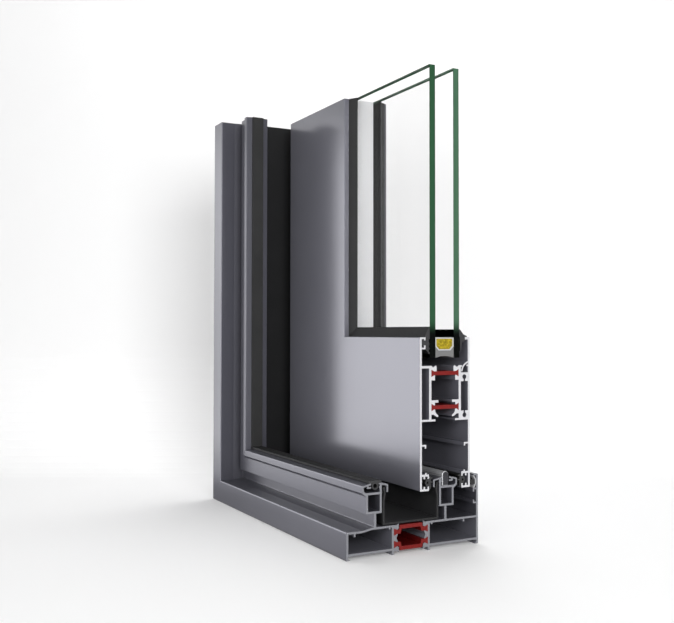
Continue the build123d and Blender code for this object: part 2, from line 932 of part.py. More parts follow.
with BuildPart() as axles:
    for place in wheel_places:
        with Locations(Location((left + place, front + sash_line, axle_height), (90, 0, 0))):
            Cylinder(axle_radius, 2 * cheek_out + 2 * axle_end)
axles.part.label = "roller_axles"
export_step(axles.part, "parts/roller_axles.step")
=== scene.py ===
"""Looks of the corner section of an aluminium lift-and-slide door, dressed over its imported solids."""

import logging
import math
import random
from abc import ABC, abstractmethod
from dataclasses import dataclass, field
from enum import Enum
from typing import Iterable, Protocol

import bmesh
import bpy
from mathutils import Matrix, Vector


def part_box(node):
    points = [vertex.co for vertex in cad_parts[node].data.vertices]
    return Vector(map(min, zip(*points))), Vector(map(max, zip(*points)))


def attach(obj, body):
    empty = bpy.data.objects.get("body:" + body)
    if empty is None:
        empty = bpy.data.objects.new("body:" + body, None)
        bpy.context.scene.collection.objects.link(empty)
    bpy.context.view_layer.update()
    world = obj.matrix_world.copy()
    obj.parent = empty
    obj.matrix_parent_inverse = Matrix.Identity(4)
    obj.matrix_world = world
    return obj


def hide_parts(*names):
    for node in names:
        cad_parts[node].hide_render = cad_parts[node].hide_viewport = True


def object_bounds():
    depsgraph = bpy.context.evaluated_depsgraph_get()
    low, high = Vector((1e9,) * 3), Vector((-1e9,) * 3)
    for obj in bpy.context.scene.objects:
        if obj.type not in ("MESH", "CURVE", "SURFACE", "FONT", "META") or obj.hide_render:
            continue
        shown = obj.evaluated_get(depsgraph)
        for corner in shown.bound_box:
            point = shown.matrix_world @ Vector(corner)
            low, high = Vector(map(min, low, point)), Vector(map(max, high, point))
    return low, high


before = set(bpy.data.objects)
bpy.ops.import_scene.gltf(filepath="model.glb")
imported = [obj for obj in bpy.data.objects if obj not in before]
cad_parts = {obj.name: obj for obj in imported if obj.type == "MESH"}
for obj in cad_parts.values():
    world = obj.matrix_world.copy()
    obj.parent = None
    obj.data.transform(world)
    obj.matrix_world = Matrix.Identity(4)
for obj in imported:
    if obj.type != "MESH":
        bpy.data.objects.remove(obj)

Colour = tuple[float, float, float]
Point = tuple[float, float, float]
Span = tuple[float, float]

LOG = logging.getLogger("door_section")
CAD_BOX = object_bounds()
MM = 0.001
X, Y, Z = range(3)
EVEN = (1.0, 1.0, 1.0)
WHITE = (1.0, 1.0, 1.0)
NOISE_RANGE = (0.2, 0.8)

# Sockets of the mix node that carry colours, which share their names with others.
MIX_LOW, MIX_HIGH, MIX_RESULT = 6, 7, 2


class Grain(Enum):
    """Direction in which a piece was drawn out, and so the way its die lines run."""

    ALONG_SILL = (0.02, 1.0, 1.0)
    UP_JAMB = (1.0, 1.0, 0.02)
    NONE = EVEN


class Run(Enum):
    """Way that a member runs, as the axis along it and the axis across it."""

    SILL = (X, Z)
    JAMB = (Z, X)


@dataclass(frozen=True)
class CutPlanes:
    """Places of the two saw cuts that end the sample, and how squarely a cut face looks along its axis."""

    right: float
    top: float
    slack: float = 0.02 * MM
    square: float = 0.9


def cut_planes() -> CutPlanes:
    """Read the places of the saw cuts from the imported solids.

    Returns:
        The right and top planes in metres.
    """
    high = CAD_BOX[1]
    return CutPlanes(right=high[X], top=high[Z])


def srgb(text: str) -> Colour:
    """Turn a hex colour into linear values.

    Args:
        text: Colour as #rrggbb.

    Returns:
        Linear red, green and blue.
    """
    values = [int(text[i : i + 2], 16) / 255 for i in (1, 3, 5)]
    linear = [v / 12.92 if v <= 0.04045 else ((v + 0.055) / 1.055) ** 2.4 for v in values]
    return linear[0], linear[1], linear[2]


def shade(text: str, factor: float) -> Colour:
    """Make a hex colour lighter or darker.

    Args:
        text: Colour as #rrggbb.
        factor: Multiplier on the linear values.

    Returns:
        Linear red, green and blue.
    """
    red, green, blue = srgb(text)
    return min(red * factor, 1.0), min(green * factor, 1.0), min(blue * factor, 1.0)


class NodeBook:
    """The node tree of a material or of the world, with short calls for the nodes used here."""

    def __init__(self, owner: bpy.types.Material | bpy.types.World) -> None:
        """Start with an empty tree.

        Args:
            owner: The material or world that the tree belongs to.
        """
        owner.use_nodes = True
        self.owner = owner
        self.tree = owner.node_tree
        self.tree.nodes.clear()
        self.output = self.tree.nodes.new(f"ShaderNodeOutput{owner.id_type.title()}")

    def add(self, kind: str, **settings: object) -> bpy.types.Node:
        """Add a node and set its properties.

        Args:
            kind: Blender's node type.
            **settings: Properties by name.

        Returns:
            The new node.
        """
        node = self.tree.nodes.new(kind)
        for key, value in settings.items():
            setattr(node, key, value)
        return node

    def put(self, socket: bpy.types.NodeSocket, value: object) -> None:
        """Link or set one input.

        Args:
            socket: The input.
            value: Socket, number, colour or nothing.
        """
        if isinstance(value, bpy.types.NodeSocket):
            self.tree.links.new(value, socket)
        elif isinstance(value, tuple) and socket.type == "RGBA":
            socket.default_value = (*value, 1.0)
        elif value is not None:
            socket.default_value = value

    def math(self, operation: str, first: object, second: object = None) -> bpy.types.NodeSocket:
        """Add a math node.

        Args:
            operation: Blender's name of the operation.
            first: Socket or number.
            second: Socket or number.

        Returns:
            The node's output socket.
        """
        node = self.add("ShaderNodeMath", operation=operation)
        self.put(node.inputs[0], first)
        self.put(node.inputs[1], second)
        return node.outputs[0]

    def mix(self, factor: object, low: object, high: object) -> bpy.types.NodeSocket:
        """Mix two colours.

        Args:
            factor: Socket or number from 0 to 1.
            low: Colour or socket at 0.
            high: Colour or socket at 1.

        Returns:
            The mixed colour socket.
        """
        node = self.add("ShaderNodeMix", data_type="RGBA")
        self.put(node.inputs[0], factor)
        self.put(node.inputs[MIX_LOW], low)
        self.put(node.inputs[MIX_HIGH], high)
        return node.outputs[MIX_RESULT]

    def mottle(self, factor: bpy.types.NodeSocket, colour: str, spread: Span) -> bpy.types.NodeSocket:
        """Vary a colour between a darker and a lighter shade of itself.

        Args:
            factor: Socket from 0 to 1.
            colour: Colour as #rrggbb.
            spread: Multipliers for the two shades.

        Returns:
            The colour socket.
        """
        return self.mix(factor, shade(colour, spread[0]), shade(colour, spread[1]))

    def blend(self, factor: object, low: bpy.types.Node, high: bpy.types.Node) -> bpy.types.Node:
        """Mix two shaders.

        Args:
            factor: Socket or number from 0 to 1.
            low: Shader node at 0.
            high: Shader node at 1.

        Returns:
            The mixing node.
        """
        node = self.add("ShaderNodeMixShader")
        self.put(node.inputs[0], factor)
        self.put(node.inputs[1], low.outputs[0])
        self.put(node.inputs[2], high.outputs[0])
        return node

    def place(self, stretch: Point = EVEN) -> bpy.types.NodeSocket:
        """Give object coordinates, stretched along the axes.

        Args:
            stretch: Scale along each axis.

        Returns:
            The vector socket.
        """
        coords = self.add("ShaderNodeTexCoord")
        mapping = self.add("ShaderNodeMapping")
        mapping.inputs["Scale"].default_value = stretch
        self.put(mapping.inputs["Vector"], coords.outputs["Object"])
        return mapping.outputs["Vector"]

    def axes(self, output: str = "Object") -> bpy.types.NodeOutputs:
        """Give the three parts of a texture coordinate.

        Args:
            output: Name of the coordinate.

        Returns:
            Sockets for x, y and z.
        """
        coords = self.add("ShaderNodeTexCoord")
        split = self.add("ShaderNodeSeparateXYZ")
        self.put(split.inputs[0], coords.outputs[output])
        return split.outputs

    def noise(self, scale: float, detail: float = 3.0, stretch: Point = EVEN) -> bpy.types.NodeSocket:
        """Add a noise texture.

        Args:
            scale: Cells per metre.
            detail: Octaves.
            stretch: Scale of the coordinates along each axis.

        Returns:
            The noise value socket.
        """
        node = self.add("ShaderNodeTexNoise")
        node.inputs["Scale"].default_value = scale
        node.inputs["Detail"].default_value = detail
        self.put(node.inputs["Vector"], self.place(stretch))
        return node.outputs["Fac"]

    def ramp(self, value: bpy.types.NodeSocket, start: Span, end: Span = (0.0, 1.0)) -> bpy.types.NodeSocket:
        """Map one range of a value to another, easing at both ends.

        Args:
            value: The value socket.
            start: Range that comes in.
            end: Range that goes out.

        Returns:
            The mapped value socket.
        """
        node = self.add("ShaderNodeMapRange", interpolation_type="SMOOTHSTEP")
        node.inputs["From Min"].default_value, node.inputs["From Max"].default_value = start
        node.inputs["To Min"].default_value, node.inputs["To Max"].default_value = end
        self.put(node.inputs["Value"], value)
        return node.outputs["Result"]

    def waver(self, noise: bpy.types.NodeSocket, usual: float, spread: Span) -> bpy.types.NodeSocket:
        """Let a number vary with a noise.

        Args:
            noise: Value socket of the noise.
            usual: The number without the noise.
            spread: What the noise adds at its least and at its most.

        Returns:
            The varied value socket.
        """
        return self.ramp(noise, NOISE_RANGE, (usual + spread[0], usual + spread[1]))

    def soft_edges(self, radius: float, samples: int = 6) -> bpy.types.NodeSocket:
        """Round the sharp edges in the shading.

        Args:
            radius: Radius of the rounding in metres.
            samples: How many rays feel for an edge.

        Returns:
            The normal socket.
        """
        node = self.add("ShaderNodeBevel", samples=samples)
        node.inputs["Radius"].default_value = radius
        return node.outputs["Normal"]

    def bump(
        self, height: bpy.types.NodeSocket, strength: float, depth: float, normal: object = None
    ) -> bpy.types.NodeSocket:
        """Turn a height into a normal.

        Args:
            height: Height socket.
            strength: Share of the effect.
            depth: Depth in metres.
            normal: Socket with the normal to start from, or nothing for the face's own.

        Returns:
            The normal socket.
        """
        node = self.add("ShaderNodeBump")
        self.put(node.inputs["Normal"], normal)
        node.inputs["Strength"].default_value = strength
        node.inputs["Distance"].default_value = depth
        self.put(node.inputs["Height"], height)
        return node.outputs["Normal"]

    def cut_mask(self, planes: CutPlanes) -> bpy.types.NodeSocket:
        """Find the saw-cut faces by their place and their direction.

        Args:
            planes: Where the cuts are.

        Returns:
            A socket that is 1 on a cut and 0 elsewhere.
        """
        where = self.axes()
        facing = self.axes("Normal")
        masks = []
        for axis, limit in ((X, planes.right), (Z, planes.top)):
            near = self.math("GREATER_THAN", where[axis], limit - planes.slack)
            flat = self.math("GREATER_THAN", facing[axis], planes.square)
            masks.append(self.math("MULTIPLY", near, flat))
        return self.math("MAXIMUM", masks[0], masks[1])

    def beside(self, value: bpy.types.NodeSocket, middle: float) -> bpy.types.NodeSocket:
        """Measure how far a value is from a middle, to either side."""
        return self.math("ABSOLUTE", self.math("SUBTRACT", value, middle))

    def seen(self) -> bpy.types.NodeSocket:
        """Give 1 for rays that show a surface to the camera, straight, mirrored or through glass."""
        path = self.add("ShaderNodeLightPath")
        straight = self.math("MAXIMUM", path.outputs["Is Camera Ray"], path.outputs["Is Glossy Ray"])
        return self.math("MAXIMUM", straight, path.outputs["Is Transmission Ray"])

    def glow(self, strength: object, colour: Colour = WHITE) -> bpy.types.Node:
        """Add a glowing shader.

        Args:
            strength: Socket or number, where 1 is white.
            colour: Linear colour of the glow.

        Returns:
            The shader node.
        """
        node = self.add("ShaderNodeEmission")
        self.put(node.inputs["Strength"], strength)
        self.put(node.inputs["Color"], colour)
        return node

    def clear(self) -> bpy.types.Node:
        """Add a shader that lets all light through."""
        return self.add("ShaderNodeBsdfTransparent")

    def principled(self, **values: object) -> bpy.types.Node:
        """Add the main surface shader.

        Args:
            **values: Socket names, with spaces as underscores, to numbers, colours or sockets.

        Returns:
            The shader node.
        """
        node = self.add("ShaderNodeBsdfPrincipled")
        for key, value in values.items():
            self.put(node.inputs[key.replace("_", " ")], value)
        return node

    def surface(self, shader: bpy.types.Node) -> None:
        """Join a shader to the output."""
        self.put(self.output.inputs["Surface"], shader.outputs[0])


class Finish(Protocol):
    """Anything that can make a material for a piece."""

    name: str

    def build(self, planes: CutPlanes) -> bpy.types.Material:
        """Make the material."""


@dataclass(frozen=True)
class Chambers:
    """Where a profile's hollow inside begins, which the coat doesn't reach: bare metal there, coloured
    lighter partly as painted light.
    """

    front: float = -1.0
    back: float = 1.0
    axis: int = Z
    roof: float = 1.0
    skin: float = 0.05 * MM

    def mask(self, book: NodeBook) -> bpy.types.NodeSocket:
        """Find the inside of the profile.

        Args:
            book: Nodes of the material.

        Returns:
            A socket that is 1 inside and 0 on the coated faces.
        """
        where = book.axes()
        behind = book.math("GREATER_THAN", where[Y], self.front + self.skin)
        before = book.math("LESS_THAN", where[Y], self.back - self.skin)
        under = book.math("LESS_THAN", where[self.axis], self.roof)
        return book.math("MULTIPLY", book.math("MULTIPLY", behind, before), under)


@dataclass(frozen=True)
class CoatedAluminium:
    """Satin coat on drawn aluminium, bare in the chambers with a lighter colour that is partly painted
    light, and saw-marked where the sample is cut.
    """

    name: str
    coat: str
    bare: str
    grain: Grain
    chambers: Chambers
    # Bare metal inside the chambers, made lighter also as painted light for the hollows that the lamps
    # barely reach.
    mill_and_painted_light: str = "#66666e"
    index: float = 1.7
    glaze: Colour = (0.93, 0.93, 1.0)
    roughness: float = 0.21
    rough_spread: Span = (-0.02, 0.03)
    arris: float = 0.4 * MM
    die_lines: float = 900.0
    clouds: float = 14.0
    cloud_spread: Span = (0.94, 1.06)
    flecks: float = 5200.0
    fleck_range: Span = (0.55, 0.8)
    fleck_share: float = 0.15
    fleck_lift: float = 1.3
    saw_lines: float = 2600.0
    saw_stretch: Point = (1.0, 0.25, 1.0)
    saw_spread: Span = (0.84, 1.12)
    saw_strength: float = 0.3
    saw_depth: float = 0.03 * MM
    cut_metal: float = 0.25
    cut_rough: float = 0.3

    def build(self, planes: CutPlanes) -> bpy.types.Material:
        """Make the material.

        Args:
            planes: Where the sample is cut.

        Returns:
            The finished material.
        """
        book = NodeBook(bpy.data.materials.new(self.name))
        cut = book.cut_mask(planes)
        lines = book.noise(self.die_lines, stretch=self.grain.value)
        saw = book.noise(self.saw_lines, detail=2.0, stretch=self.saw_stretch)
        fleck = book.ramp(book.noise(self.flecks, detail=1.0), self.fleck_range, (0.0, self.fleck_share))
        tone = book.mottle(book.noise(self.clouds), self.coat, self.cloud_spread)
        tone = book.mix(fleck, tone, shade(self.coat, self.fleck_lift))
        # Partly painted light: the chambers get the lighter bare-metal colour.
        tone = book.mix(self.chambers.mask(book), tone, srgb(self.mill_and_painted_light))
        rough = book.waver(lines, self.roughness, self.rough_spread)
        marks = book.math("MULTIPLY", saw, cut)
        shader = book.principled(
            Base_Color=book.mix(cut, tone, book.mottle(saw, self.bare, self.saw_spread)),
            Metallic=book.math("MULTIPLY", cut, self.cut_metal),
            IOR=self.index,
            Specular_Tint=self.glaze,
            Roughness=book.math("ADD", rough, book.math("MULTIPLY", cut, self.cut_rough)),
            Normal=book.bump(marks, self.saw_strength, self.saw_depth, book.soft_edges(self.arris)),
        )
        book.surface(shader)
        return book.owner


@dataclass(frozen=True)
class FilledPolyamide:
    """Red glass-filled polyamide with short pale fibres showing where it is cut."""

    name: str = "red_polyamide"
    body: str = "#560c0b"
    cut: str = "#701614"
    fibre: str = "#c8857c"
    roughness: float = 0.5
    rough_spread: Span = (-0.05, 0.1)
    gloss: float = 0.3
    clouds: float = 60.0
    cloud_spread: Span = (0.85, 1.15)
    fibres: float = 3400.0
    fibre_range: Span = (0.58, 0.75)
    fibre_share: float = 0.25
    fibre_strength: float = 0.2
    fibre_depth: float = 0.03 * MM

    def build(self, planes: CutPlanes) -> bpy.types.Material:
        """Make the material.

        Args:
            planes: Where the sample is cut.

        Returns:
            The finished material.
        """
        book = NodeBook(bpy.data.materials.new(self.name))
        cut = book.cut_mask(planes)
        fibre = book.noise(self.fibres, detail=2.0)
        tone = book.mottle(book.noise(self.clouds), self.body, self.cloud_spread)
        tone = book.mix(cut, tone, srgb(self.cut))
        speck = book.math("MULTIPLY", book.ramp(fibre, self.fibre_range, (0.0, self.fibre_share)), cut)
        shader = book.principled(
            Base_Color=book.mix(speck, tone, srgb(self.fibre)),
            Roughness=book.waver(fibre, self.roughness, self.rough_spread),
            Specular_IOR_Level=self.gloss,
            Normal=book.bump(fibre, self.fibre_strength, self.fibre_depth),
        )
        book.surface(shader)
        return book.owner


@dataclass(frozen=True)
class Rubber:
    """Satin rubber or plastic with a fine skin and its own tone where it is cut."""

    name: str
    body: str
    cut: str
    roughness: float = 0.5
    gloss: float = 0.3
    rough_spread: Span = (-0.06, 0.1)
    clouds: float = 45.0
    cloud_spread: Span = (0.85, 1.2)
    skin: float = 1800.0
    skin_strength: float = 0.25
    skin_depth: float = 0.03 * MM

    def tone(self, book: NodeBook, planes: CutPlanes) -> bpy.types.NodeSocket:
        """Work out the colour over the piece.

        Args:
            book: Nodes of the material.
            planes: Where the sample is cut.

        Returns:
            The colour socket.
        """
        body = book.mottle(book.noise(self.clouds), self.body, self.cloud_spread)
        return book.mix(book.cut_mask(planes), body, srgb(self.cut))

    def build(self, planes: CutPlanes) -> bpy.types.Material:
        """Make the material.

        Args:
            planes: Where the sample is cut.

        Returns:
            The finished material.
        """
        book = NodeBook(bpy.data.materials.new(self.name))
        skin = book.noise(self.skin)
        shader = book.principled(
            Base_Color=self.tone(book, planes),
            Roughness=book.waver(skin, self.roughness, self.rough_spread),
            Specular_IOR_Level=self.gloss,
            Normal=book.bump(skin, self.skin_strength, self.skin_depth),
        )
        book.surface(shader)
        return book.owner


@dataclass(frozen=True)
class BackedSeal(Rubber):
    """Soft black pad on a bowed pale base, run along the sill or the jamb."""

    base: str = "#a9a9ab"
    run: Run = Run.SILL
    node: str = "sill_wall_seal"
    base_thick: float = 0.95 * MM
    pad_half: float = 1.72 * MM

    def tone(self, book: NodeBook, planes: CutPlanes) -> bpy.types.NodeSocket:
        """Work out the colour over the piece: the base is pale and the pad is black.

        Args:
            book: Nodes of the material.
            planes: Where the sample is cut.

        Returns:
            The colour socket.
        """
        low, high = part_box(self.node)
        across = self.run.value[1]
        where = book.axes()
        deep = book.math("GREATER_THAN", where[Y], high[Y] - self.base_thick)
        aside = book.beside(where[across], (low[across] + high[across]) / 2)
        edge = book.math("GREATER_THAN", aside, self.pad_half)
        return book.mix(book.math("MAXIMUM", deep, edge), super().tone(book, planes), srgb(self.base))


@dataclass(frozen=True)
class PolishedMetal:
    """Bare metal, with fine lines along its length and a separate colour on the cut."""

    name: str
    body: str
    cut: str
    roughness: float
    grain: Grain = Grain.NONE
    metal: float = 1.0
    rough_spread: Span = (-0.05, 0.08)
    lines: float = 1500.0
    line_spread: Span = (0.9, 1.05)
    line_strength: float = 0.15
    line_depth: float = 0.01 * MM
    cut_metal: float = 0.4
    cut_rough: float = 0.2

    def build(self, planes: CutPlanes) -> bpy.types.Material:
        """Make the material.

        Args:
            planes: Where the sample is cut.

        Returns:
            The finished material.
        """
        book = NodeBook(bpy.data.materials.new(self.name))
        cut = book.cut_mask(planes)
        lines = book.noise(self.lines, stretch=self.grain.value)
        rough = book.waver(lines, self.roughness, self.rough_spread)
        shader = book.principled(
            Base_Color=book.mix(cut, book.mottle(lines, self.body, self.line_spread), srgb(self.cut)),
            Metallic=book.ramp(cut, (0.0, 1.0), (self.metal, self.cut_metal)),
            Roughness=book.math("ADD", rough, book.math("MULTIPLY", cut, self.cut_rough)),
            Normal=book.bump(lines, self.line_strength, self.line_depth),
        )
        book.surface(shader)
        return book.owner


@dataclass(frozen=True)
class FloatGlass:
    """Clear float glass whose cut edges show green, with painted shade in black where the rebate keeps the
    light out.
    """

    name: str
    edge: str
    node: str
    sight: float
    tint: str = "#f8f8f8"
    mirror: float = 0.12
    index: float = 1.12
    lip: float = 0.65 * MM
    edge_facing: float = 0.5
    edge_rough: float = 0.3
    streaks: float = 700.0
    streak_stretch: Point = (1.0, 3.0, 0.05)
    streak_spread: Span = (0.75, 1.2)
    arris: float = 0.45 * MM
    arris_share: float = 0.6
    arris_shade: float = 0.2
    rebate_shade: str = "#050706"
    dusk: float = 6.0 * MM

    def build(self, planes: CutPlanes) -> bpy.types.Material:
        """Make the material.

        Args:
            planes: Where the sample is cut.

        Returns:
            The finished material.
        """
        book = NodeBook(bpy.data.materials.new(self.name))
        where = book.axes()
        facing = book.axes("Normal")
        side = book.math("LESS_THAN", book.math("ABSOLUTE", facing[Y]), self.edge_facing)
        lip = book.math("GREATER_THAN", where[Z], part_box(self.node)[1][Z] - self.lip)
        face = book.principled(
            Base_Color=srgb(self.tint),
            Roughness=0.0,
            IOR=self.index,
            Transmission_Weight=1.0,
            Specular_IOR_Level=self.mirror,
        )
        edge = book.principled(
            Base_Color=self.edge_tone(book, where, side),
            Roughness=self.edge_rough,
            Specular_IOR_Level=self.mirror,
        )
        book.surface(book.blend(book.math("MAXIMUM", side, lip), face, edge))
        return book.owner

    def edge_tone(
        self, book: NodeBook, where: bpy.types.NodeOutputs, side: bpy.types.NodeSocket
    ) -> bpy.types.NodeSocket:
        """Work out the colour of the edges: streaked green, dark at the arrises, and painted black below the
        sight line for the rebate's shade.

        Args:
            book: Nodes of the material.
            where: Sockets for x, y and z.
            side: Socket that is 1 on the edges.

        Returns:
            The colour socket.
        """
        low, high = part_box(self.node)
        streak = book.noise(self.streaks, detail=2.0, stretch=self.streak_stretch)
        tone = book.mottle(streak, self.edge, self.streak_spread)
        aside = book.beside(where[Y], (low[Y] + high[Y]) / 2)
        rim = book.math("GREATER_THAN", aside, (high[Y] - low[Y]) / 2 - self.arris)
        rim = book.math("MULTIPLY", book.math("MULTIPLY", side, rim), self.arris_share)
        tone = book.mix(rim, tone, shade(self.edge, self.arris_shade))
        # Painted shade: below the sight line the edges fade to black, where the rebate and gaskets shade
        # them.
        sight_line = low[Z] + self.sight
        daylight = book.ramp(where[Z], (sight_line - self.dusk, sight_line + self.dusk))
        return book.mix(daylight, srgb(self.rebate_shade), tone)


@dataclass(frozen=True)
class Granules:
    """Drying granules, each bead a slightly different yellow."""

    name: str = "drying_granules"
    body: str = "#b7a32c"
    body_spread: Span = (0.5, 1.3)
    cells: float = 900.0
    roughness: float = 0.75
    gloss: float = 0.3
    dust: float = 6000.0
    dust_strength: float = 0.4
    dust_depth: float = 0.05 * MM

    def build(self, planes: CutPlanes) -> bpy.types.Material:
        """Make the material.

        Args:
            planes: Where the sample is cut.

        Returns:
            The finished material.
        """
        book = NodeBook(bpy.data.materials.new(self.name))
        cells = book.add("ShaderNodeTexVoronoi")
        cells.inputs["Scale"].default_value = self.cells
        book.put(cells.inputs["Vector"], book.place())
        split = book.add("ShaderNodeSeparateColor")
        book.put(split.inputs[0], cells.outputs["Color"])
        dust = book.noise(self.dust, detail=2.0)
        shader = book.principled(
            Base_Color=book.mottle(split.outputs[0], self.body, self.body_spread),
            Roughness=self.roughness,
            Specular_IOR_Level=self.gloss,
            Normal=book.bump(dust, self.dust_strength, self.dust_depth),
        )
        book.surface(shader)
        return book.owner


# A front plane a metre behind the sample leaves nothing inside.
NO_CHAMBERS = Chambers(front=1.0)
POLYAMIDE = FilledPolyamide()
GASKET = Rubber("gasket_rubber", body="#1f1f1f", cut="#3a3a3b", roughness=0.6, gloss=0.15)
# Painted light: the upright gaskets are the same rubber as the level ones, given a lighter colour to stand
# in for the light they catch.
UPRIGHT_GASKET_PAINTED_LIGHT = Rubber("upright_gasket_painted_light", body="#313131", cut="#3a3a3b", roughness=0.6, gloss=0.15)
TROUGH = Rubber("trough_plastic", body="#212122", cut="#2a2a2b", roughness=0.6, gloss=0.25)
SEALANT = Rubber("edge_sealant", body="#6a6a6a", cut="#707070", roughness=0.7, gloss=0.2)
PACKER = Rubber("packer_plastic", body="#3a3b3d", cut="#3a3b3d", roughness=0.5, gloss=0.4)
SPACER = PolishedMetal("spacer_metal", body="#f2f3f4", cut="#d0d0d2", roughness=0.35, metal=0.2)
# Painted reflection: the rail's cut end is coloured dark for the dark surroundings that its polished face
# mirrors.
TRACK_RAIL = PolishedMetal(
    "rail_metal", body="#d2d3d6", cut="#3b3b3f", roughness=0.3, grain=Grain.ALONG_SILL, metal=0.5
)


@dataclass
class FinishBook:
    """All the finishes of the sample, made once each."""

    planes: CutPlanes
    made: dict[str, bpy.types.Material] = field(default_factory=dict)

    def material(self, finish: Finish) -> bpy.types.Material:
        """Give a finish's material, making it at its first use.

        Args:
            finish: A finish that can build its material.

        Returns:
            The material.
        """
        if finish.name not in self.made:
            self.made[finish.name] = finish.build(self.planes)
        return self.made[finish.name]

    def dress(self, finish: Finish, nodes: Iterable[str]) -> None:
        """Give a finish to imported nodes.

        Args:
            finish: A finish that can build its material.
            nodes: Names of the nodes.
        """
        for node in nodes:
            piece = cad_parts[node]
            piece.data.materials.clear()
            piece.data.materials.append(self.material(finish))
            LOG.info("dressed %s in %s", node, finish.name)


@dataclass
class OuterFrame:
    """Sill and jamb with their breaks, track gaskets, trough and seals."""

    coat: str = "#46464d"
    bare: str = "#84858a"
    satin: float = 0.3
    deck_under: float = 19.55 * MM
    seal: str = "#1d1d1d"
    seal_cut: str = "#2c2c2d"

    def dress(self, book: FinishBook) -> None:
        """Give the frame's pieces their finishes.

        Args:
            book: Where the finishes are kept.
        """
        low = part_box("sill_outside_profile")[0]
        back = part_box("sill_inside_profile")[1][Y]
        for member, grain, run in (("sill", Grain.ALONG_SILL, Run.SILL), ("jamb", Grain.UP_JAMB, Run.JAMB)):
            across = run.value[1]
            inside = Chambers(low[Y], back, across, low[across] + self.deck_under)
            coat = CoatedAluminium(
                f"{member}_coat", self.coat, self.bare, grain, inside, roughness=self.satin
            )
            book.dress(coat, (f"{member}_outside_profile", f"{member}_inside_profile"))
            node = f"{member}_wall_seal"
            book.dress(BackedSeal(f"{member}_seal", self.seal, self.seal_cut, run=run, node=node), (node,))
        book.dress(POLYAMIDE, ("sill_thermal_breaks", "jamb_thermal_breaks"))
        book.dress(GASKET, ("sill_track_gasket",))
        book.dress(UPRIGHT_GASKET_PAINTED_LIGHT, ("jamb_track_gasket", "jamb_inside_track_gasket"))
        book.dress(TROUGH, ("sill_channel_cover", "jamb_channel_cover"))
        book.dress(TRACK_RAIL, ("running_rail",))


@dataclass
class Sash:
    """Bottom rail and stile with breaks, seals, beads and glazing gaskets."""

    # Painted light: the sash has the same paint as the frame, given a lighter colour here to stand in for
    # more light on its faces, beads included.
    coat: str = "#6c6c74"
    bare: str = "#d3d3d6"

    def dress(self, book: FinishBook) -> None:
        """Give the sash's pieces their finishes.

        Args:
            book: Where the finishes are kept.
        """
        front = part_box("stile_outside_profile")[0][Y]
        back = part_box("stile_inside_profile")[1][Y]
        inside = Chambers(front, back)
        for name, member, side, grain in (
            ("rail_coat_painted_light", "bottom_rail", "bottom", Grain.ALONG_SILL),
            ("stile_coat_painted_light", "stile", "side", Grain.UP_JAMB),
        ):
            coat = CoatedAluminium(name, self.coat, self.bare, grain, inside)
            book.dress(coat, (f"{member}_outside_profile", f"{member}_inside_profile"))
            bead = f"{side}_glazing_bead"
            book.dress(CoatedAluminium(f"{bead}_coat", self.coat, self.bare, grain, NO_CHAMBERS), (bead,))
        book.dress(POLYAMIDE, ("bottom_rail_thermal_breaks", "stile_thermal_breaks"))
        book.dress(GASKET, ("bottom_rail_leg_seals", "stile_leg_seals"))
        book.dress(GASKET, ("bottom_outside_gasket", "bottom_inside_gasket"))
        book.dress(UPRIGHT_GASKET_PAINTED_LIGHT, ("side_outside_gasket", "side_inside_gasket"))


